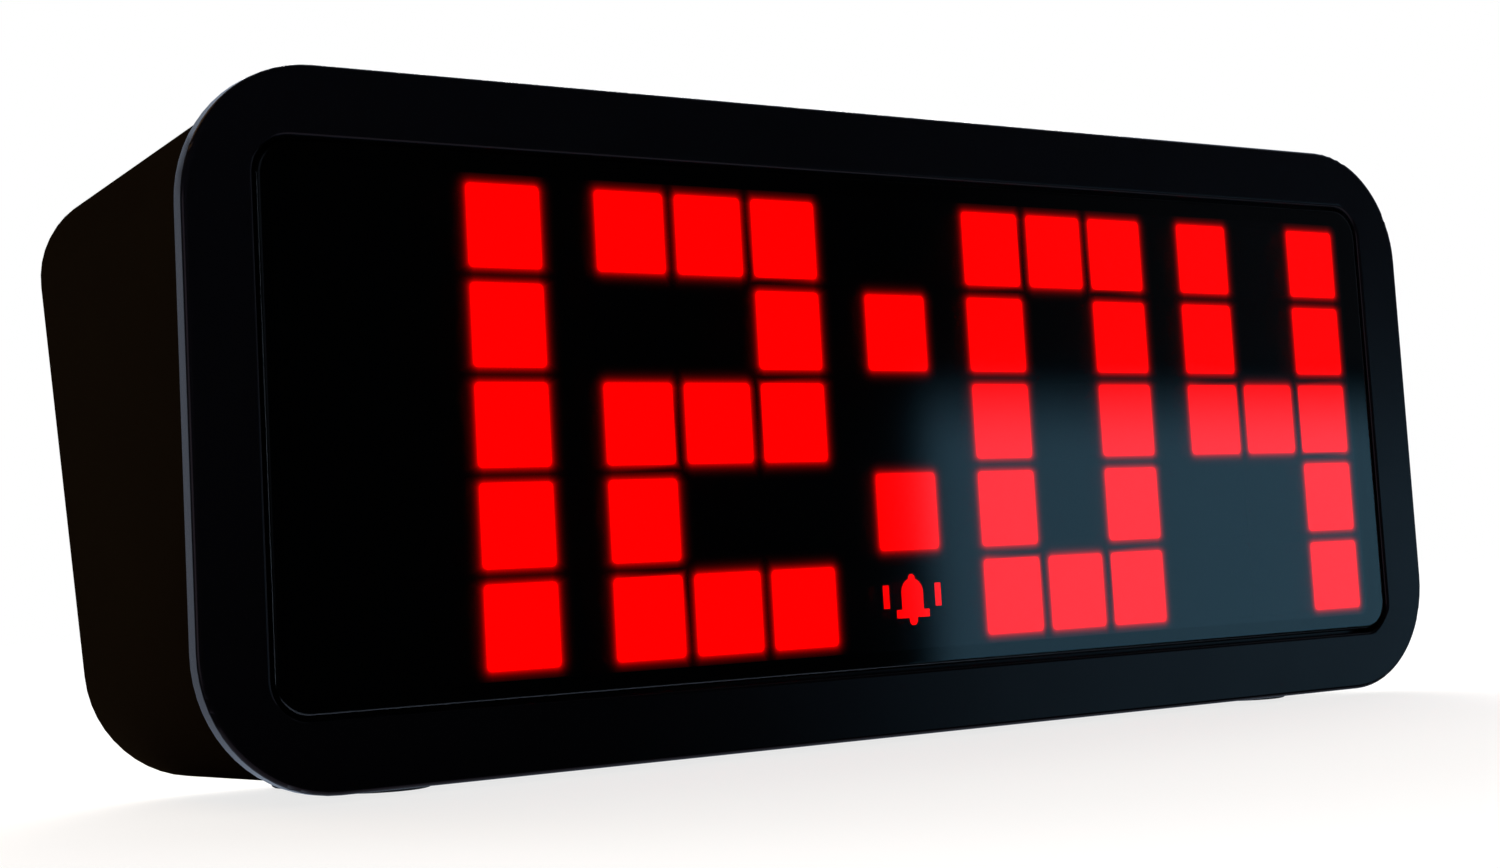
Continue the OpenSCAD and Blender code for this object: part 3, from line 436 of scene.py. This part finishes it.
# Soft PVC of the leads.
red_pvc = moulded("red_pvc", "#8a1414", "#a01c1a", 0.4, 1.0, 0.004)
black_pvc = moulded("black_pvc", "#0e0e0f", "#151516", 0.4, 1.0, 0.004)

TRACK_MM = 2.4
board_lacquer, tree, shader = start_finish("green_board_lacquer", Roughness=0.32)
coords = add(tree, "TexCoord")
tracks = add(tree, "TexBrick", {"Vector": coords.outputs["Object"], "Scale": 1 / (TRACK_MM * 4 * MM),
                                "Color1": linear("#0b3a20"), "Color2": linear("#0d4426"),
                                "Mortar": linear("#1c6a3c"), "Mortar Size": 0.012,
                                "Mortar Smooth": 0.1, "Brick Width": 1.5, "Row Height": 0.25})
raised = add(tree, "Bump", {"Height": tracks.outputs["Fac"], "Distance": 0.03 * MM, "Strength": 1.0})
tree.links.new(tracks.outputs["Color"], shader.inputs["Base Color"])
tree.links.new(raised.outputs["Normal"], shader.inputs["Normal"])

WIRE_MM = 1.27
flat_cable, tree, shader = start_finish("flat_cable_pvc", Roughness=0.45)
coords = add(tree, "TexCoord")
# A full wave of Blender's sine bands is a tenth of pi over the scale, in the pattern's own units.
wires = add(tree, "TexWave", {"Vector": coords.outputs["Object"], "Distortion": 0.0,
                              "Scale": math.pi / 10 / (WIRE_MM * MM)},
            wave_type="BANDS", bands_direction="X")
grey = add(tree, "Mix", {"Factor": wires.outputs["Fac"], "A": linear("#77787c"),
                         "B": linear("#9c9da1")}, data_type="RGBA")
round_wires = add(tree, "Bump", {"Height": wires.outputs["Fac"], "Distance": 0.25 * MM, "Strength": 1.0})
tree.links.new(grey.outputs["Result"], shader.inputs["Base Color"])
tree.links.new(round_wires.outputs["Normal"], shader.inputs["Normal"])
print("rubber, sleeve, lead, board and cable finishes made")

# %% [markdown]
# ## From slots to finishes
# The record gives every solid a slot, a name for its finish. This table says which material each
# slot gets, so that a solid and any new piece that stands for it look alike.

# %% Finish of each slot
FINISH = {
    "satin_black": satin_abs_painted_blue_sheen, "tinted_window": tinted, "mask_black": mask_abs,
    "lit_resin": lit_resin, "dark_resin": dark_resin, "board_green": board_lacquer,
    "led_white": white_nylon, "chip_black": housing_abs, "bright_metal": nickel_steel,
    "capacitor_blue": blue_sleeve, "textured_black": spark_abs, "key_grey": key_abs,
    "pin_brass": brass, "cell_sleeve": blue_sleeve, "cable_grey": flat_cable, "lead_red": red_pvc,
    "lead_black": black_pvc, "foot_rubber": rubber, "screw_steel": zinc_steel,
}
slot_of = {part["node"]: part["material_slot"] for part in frame["record"]["subparts"]}
body_of = {node: body for body, nodes in frame["record"]["behaviour"]["bodies"].items()
           for node in nodes}
for node, solid in frame["nodes"].items():
    solid.data.materials.clear()
    solid.data.materials.append(FINISH[slot_of[node]])
print(len(frame["nodes"]), "solids have a finish from", len(FINISH), "slots")

# %% [markdown]
# ## Smooth skins for the rounded solids
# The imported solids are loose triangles, so a rounded edge shows its facets. A skin is a copy with
# the doubled corners merged, shaded smooth, and kept sharp where two faces meet at a clear angle.
# Weighted normals then let the large faces rule, so that flat fields stay flat up to their rims.

# %% Smooth skins
WELD = 0.002 * MM


def place_piece(name, mesh, node, finishes=None):
    """Links a piece that stands for a solid, with the solid's body and slot."""
    piece = bpy.data.objects.new(name, mesh)
    mesh.materials.clear()
    for finish in finishes or [FINISH[slot_of[node]]]:
        mesh.materials.append(finish)
    scene.collection.objects.link(piece)
    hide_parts(node)
    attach(piece, body_of[node])
    return piece


def smooth_faces(bm, angle):
    """Shades all faces smooth, and marks edges sharper than the angle, in degrees."""
    for face in bm.faces:
        face.smooth = True
    for edge in bm.edges:
        edge.smooth = edge.calc_face_angle(math.pi) < math.radians(angle)


def smooth_skin(node, angle=30):
    """A smooth-shaded copy of a solid, which then stands for it."""
    mesh = frame["nodes"][node].data.copy()
    bm = bmesh.new()
    bm.from_mesh(mesh)
    bmesh.ops.remove_doubles(bm, verts=bm.verts, dist=WELD)
    smooth_faces(bm, angle)
    bm.to_mesh(mesh)
    bm.free()
    skin = place_piece(node + "_skin", mesh, node)
    weigh = skin.modifiers.new("flat_fields", "WEIGHTED_NORMAL")
    weigh.keep_sharp = True
    weigh.weight = 100
    return skin


ROUNDED = ["front_bezel", "display_lens", "rear_shell", "snooze_bar", "time_button", "alarm_button",
           "hour_button", "minute_button", "alarm_slide", "power_inlet", "inlet_pin", "sounder",
           "battery_door", "case_screws", "board_screws", "board_capacitors", "timing_crystal",
           "lit_cells", "unlit_cells", "bell_cell", "sounder_leads", "battery_leads", "ribbon_cable"]
for node in ROUNDED:
    skin = smooth_skin(node)
    print(skin.name, len(skin.data.polygons), "faces")

# %% [markdown]
# ## Turned pieces: backup cells and feet
# A backup cell is a drawn steel can in a shrunk film that curls over both rims, with a button at
# one end. A foot is a rubber disc with a soft edge and a slightly hollow sole. Both are round, so
# half an outline, spun a full turn, gives the curl, the groove and the hollow that the plain solids
# lack. Films and bare steel are faces of one mesh, told apart by their distance from the axis.

# %% Half outlines and a full turn
def arc(along, out, radius, start, end, count=5):
    """Points of an arc round (along, out), from one angle to another in degrees."""
    angles = [math.radians(start + (end - start) * k / (count - 1)) for k in range(count)]
    return [(along + radius * math.cos(a), out + radius * math.sin(a)) for a in angles]


def spun(bm, outline, middle, along, out, steps=48):
    """Spins a half outline, in mm along and out from the axis through middle, a full turn."""
    verts = [bm.verts.new(middle + (along * a + out * b) * MM) for a, b in outline]
    edges = [bm.edges.new(pair) for pair in zip(verts, verts[1:])]
    bmesh.ops.spin(bm, geom=verts + edges, cent=middle, axis=along, angle=2 * math.pi, steps=steps,
                   use_merge=True)


SLIVER = 0.001 * MM


def close_up(bm, angle=35):
    """Merges seams and poles, turns all faces outwards and shades them smooth."""
    bmesh.ops.remove_doubles(bm, verts=bm.verts, dist=WELD)
    bmesh.ops.dissolve_degenerate(bm, edges=bm.edges, dist=SLIVER)
    bmesh.ops.recalc_face_normals(bm, faces=bm.faces)
    smooth_faces(bm, angle)


def islands(node):
    """Boxes of the separate solids in a node, as pairs of lowest and highest corner."""
    bm = bmesh.new()
    bm.from_mesh(frame["nodes"][node].data)
    bmesh.ops.remove_doubles(bm, verts=bm.verts, dist=WELD)
    todo, found = set(bm.verts), []
    while todo:
        queue, part = [todo.pop()], []
        while queue:
            vert = queue.pop()
            part.append(vert.co.copy())
            near = {edge.other_vert(vert) for edge in vert.link_edges} & todo
            todo -= near
            queue.extend(near)
        found.append((Vector(map(min, zip(*part))), Vector(map(max, zip(*part)))))
    bm.free()
    return sorted(found, key=lambda box: (round(box[0].x, 5), round(box[0].z, 5)))


print("feet found:", len(islands("rubber_feet")))


# %% Backup cells
BUTTON_H, BUTTON_R = 0.8, 1.9
CAN_R = 4.2
BAND_AT, BAND_W = 9.0, 1.2
FILM, STEEL, BAND = 0, 1, 2


def cell_outline(long, radius):
    """Half outline of a cell from its flat end to its button."""
    end, shoulder = -long / 2, long / 2 - BUTTON_H
    flat = [(end, 0), (end, CAN_R - 0.5), (end + 0.3, CAN_R - 0.3), (end + 0.3, CAN_R)]
    body = (arc(end + 0.4, radius - 0.4, 0.4, 180, 90)
            + [(shoulder - BAND_AT - BAND_W, radius), (shoulder - BAND_AT, radius)]
            + arc(shoulder - 0.4, radius - 0.4, 0.4, 90, 0))
    button = ([(shoulder - 0.3, CAN_R), (shoulder - 0.3, BUTTON_R + 0.5), (shoulder, BUTTON_R)]
              + arc(long / 2 - 0.3, BUTTON_R - 0.3, 0.3, 90, 0) + [(long / 2, 0)])
    return flat + body + button


# Shrunk film: slate grey and glossy, with a pale printed ring that marks the button's end.
slate_film = moulded("slate_shrink_film", "#2a3038", "#313842", 0.28, 3.0, 0.004)
pale_film = moulded("pale_printed_film", "#b9bec2", "#c8ccd0", 0.3, 3.0, 0.004)
cell_boxes = islands("backup_cells")
middle_z = sum((low.z + high.z) / 2 for low, high in cell_boxes) / len(cell_boxes)
bm = bmesh.new()
for low, high in cell_boxes:
    middle = (low + high) / 2
    # The upper cell's button is on the left seen from the front, the lower one's on the right.
    along = Vector((-1 if middle.z > middle_z else 1, 0, 0))
    long, radius = (high.x - low.x) / MM, (high.z - low.z) / 2 / MM
    spun(bm, cell_outline(long, radius), middle, along, Vector((0, 0, 1)))
    ring = long / 2 - BUTTON_H - BAND_AT
    for face in (f for f in bm.faces if abs(f.calc_center_median().z - middle.z) < 1.1 * radius * MM):
        off = face.calc_center_median() - middle
        at = off.dot(along) / MM
        out = math.hypot(off.y, off.z) / MM
        face.material_index = STEEL if out < CAN_R + 0.1 else BAND if ring - BAND_W < at < ring else FILM
close_up(bm)
place_piece("backup_cells_turned", mesh_from(bm, "backup_cells_turned"), "backup_cells",
            [slate_film, nickel_steel, pale_film])
print(len(cell_boxes), "cells,", round(long, 1), "mm long and", round(2 * radius, 1), "mm across")

# %% Rubber feet
SOLE_HOLLOW, SOLE_R, FOOT_EDGE = 0.12, 2.4, 0.6
bm = bmesh.new()
for low, high in islands("rubber_feet"):
    tall, radius = (high.z - low.z) / MM, (high.x - low.x) / 2 / MM
    sole = [(SOLE_HOLLOW, 0), (SOLE_HOLLOW, SOLE_R), (0, SOLE_R + 0.4)]
    edge = arc(FOOT_EDGE, radius - FOOT_EDGE, FOOT_EDGE, 180, 90)
    stand = Vector(((low.x + high.x) / 2, (low.y + high.y) / 2, low.z))
    spun(bm, sole + edge + [(tall, radius), (tall, 0)], stand, Vector((0, 0, 1)), Vector((1, 0, 0)))
close_up(bm)
place_piece("rubber_feet_turned", mesh_from(bm, "rubber_feet_turned"), "rubber_feet")
print("feet", round(tall, 2), "mm tall with an edge of", FOOT_EDGE, "mm")

# %% [markdown]
# ## Wound contact springs
# Each cell is pressed against its plate by a spring of plated wire. It could be a curve with a
# round bevel, but a circle that spins on while it moves along the axis is the way such wire is
# wound, and gives a clean tube. The two open ends are then filled.

# %% Contact springs
WIRE_R = 0.4 * MM
SPRING_TURNS, STEPS_A_TURN, WIRE_SIDES = 3.5, 24, 10

bm = bmesh.new()
for low, high in islands("contact_springs"):
    middle = (low + high) / 2
    coil_r = (high.z - low.z) / 2 - WIRE_R
    steps = round(SPRING_TURNS * STEPS_A_TURN)
    rise = (high.x - low.x - 2 * WIRE_R) / steps
    start = Matrix.Translation((low.x + WIRE_R, middle.y, middle.z + coil_r))
    ring = bmesh.ops.create_circle(bm, segments=WIRE_SIDES, radius=WIRE_R,
                                   matrix=start @ Matrix.Rotation(math.pi / 2, 4, "X"))["verts"]
    edges = {edge for vert in ring for edge in vert.link_edges}
    bmesh.ops.spin(bm, geom=ring + list(edges), cent=middle, axis=(1, 0, 0), dvec=(rise, 0, 0),
                   angle=2 * math.pi * SPRING_TURNS, steps=steps)
bmesh.ops.holes_fill(bm, edges=[edge for edge in bm.edges if edge.is_boundary], sides=WIRE_SIDES)
close_up(bm, angle=50)
place_piece("contact_springs_wound", mesh_from(bm, "contact_springs_wound"), "contact_springs")
print("springs of", SPRING_TURNS, "turns, wire", round(2 * WIRE_R / MM, 2), "mm")

# %% [markdown]
# ## Light that strays round the lit cells
# A thin smoked film lies on the grid, with a rounded window over each lit cell, a little smaller
# than the cell. The film carries a painted red glow, emission that stands in for light spreading
# from the cell, so the edge of a square is soft, and a gap between two squares is dark red in place
# of black. Each window is a flat square with bevelled corners. Its outline is drawn outwards, far on
# a free side and to the middle of the gap on a side with a lit neighbour. An attribute holds the
# distance from the window, and the finish turns it into a painted glow that fades by the same share
# over each millimetre, as light does in a milky sheet.

# %% Lit cells and their windows
FILM_LAP = 0.22 * MM
FILM_CORNER, CORNER_STEPS = 0.5 * MM, 3
FILM_T = 0.01 * MM

cells = islands("lit_cells")
cell_size = cells[0][1].x - cells[0][0].x
centres = [(low + high) / 2 for low, high in cells]
pitch = min((a - b).length for a in centres for b in centres if a != b)
window_half = cell_size / 2 - FILM_LAP
mid_gap = pitch / 2 - window_half
film_reach = 2 * mid_gap + FILM_CORNER
film_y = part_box("light_mask")[0].y - 2 * FILM_T


def lit(point):
    """Whether a lit cell stands at a point."""
    return any((point - centre).length < cell_size / 2 for centre in centres)


print("windows of", round(2 * window_half / MM, 2), "mm at a pitch of", round(pitch / MM, 2), "mm")

# %% Finish of the film, a painted red glow
FILM_GLOW = 6.0
LEFT_AFTER_1_MM = 0.012

# The emission of this film is a painted glow round the lit cells, not light from a lamp.
film, tree, shader = start_finish("painted_glow_film", Base_Color=linear("#050506"), Roughness=0.6,
                                  Emission_Color=(1, 0, 0, 1))
away = add(tree, "Attribute", attribute_name="away_mm", attribute_type="GEOMETRY")
left = add(tree, "Math", {0: LEFT_AFTER_1_MM, 1: away.outputs["Fac"]}, operation="POWER")
strength = add(tree, "MapRange", {"Value": left.outputs[0], "To Min": 0.0, "To Max": FILM_GLOW,
                                  "From Min": LEFT_AFTER_1_MM ** (film_reach / MM), "From Max": 1.0})
tree.links.new(strength.outputs["Result"], shader.inputs["Emission Strength"])
print("film glows at", FILM_GLOW, "next to a window and fades out", round(film_reach / MM, 2), "mm away")

# %% Frames of film
def drawn_out(off, centre):
    """Where a point of a window's outline, off from its centre, ends up at the film's outer edge."""
    signs = [math.copysign(1, off.x), math.copysign(1, off.z)]
    steps = [Vector((signs[0] * pitch, 0, 0)), Vector((0, 0, signs[1] * pitch))]
    closed = [lit(centre + step) for step in steps]
    # Cosine and sine of the point's place on the round corner, which is also its way outwards.
    turns = [(abs(v) - window_half) / FILM_CORNER + 1 for v in (off.x, off.z)]
    out = [mid_gap if shut else t * (FILM_CORNER + film_reach) - FILM_CORNER
           for t, shut in zip(turns, closed)]
    if closed[0] != closed[1] and lit(centre + steps[0] + steps[1]):
        # Past the crossing of two gaps the frame of the diagonal cell takes over.
        shut = closed.index(True)
        out[shut] -= max(out[1 - shut] - mid_gap, 0)
    return Vector([sign * (window_half + o) for sign, o in zip(signs, out)]).to_3d().xzy


def from_window(off):
    """Distance of a point from the rounded window, in mm, up to the reach of the light."""
    beyond = [max(abs(v) - window_half + FILM_CORNER, 0) for v in (off.x, off.z)]
    return min(math.hypot(*beyond) - FILM_CORNER, film_reach) / MM


bm = bmesh.new()
away_layer = bm.verts.layers.float.new("away_mm")
for centre in centres:
    middle = Vector((centre.x, film_y, centre.z))
    lie = Matrix.Translation(middle) @ Matrix.Rotation(math.pi / 2, 4, "X")
    square = bmesh.ops.create_grid(bm, x_segments=1, y_segments=1, size=window_half, matrix=lie)["verts"]
    corners = bmesh.ops.bevel(bm, geom=square, offset=FILM_CORNER, segments=CORNER_STEPS, profile=0.5,
                              affect="VERTICES", material=-1)["verts"]
    window = corners[0].link_faces[0]
    made = bmesh.ops.extrude_edge_only(bm, edges=window.edges[:])["geom"]
    for vert in (v for v in made if isinstance(v, bmesh.types.BMVert)):
        vert.co = middle + drawn_out(vert.co - middle, centre)
        vert[away_layer] = from_window(vert.co - middle)
    bmesh.ops.delete(bm, geom=[window], context="FACES_ONLY")
bmesh.ops.remove_doubles(bm, verts=bm.verts, dist=SLIVER)
bmesh.ops.dissolve_degenerate(bm, edges=bm.edges, dist=SLIVER)
bmesh.ops.recalc_face_normals(bm, faces=bm.faces)
film_mesh = mesh_from(bm, "painted_glow_film")
film_mesh.materials.append(film)
painted_glow_film = bpy.data.objects.new("painted_glow_film", film_mesh)
scene.collection.objects.link(painted_glow_film)
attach(painted_glow_film, "case")
thick = painted_glow_film.modifiers.new("film_thickness", "SOLIDIFY")
thick.thickness = FILM_T
print(len(centres), "lit cells have a frame of film,", len(film_mesh.polygons), "faces")
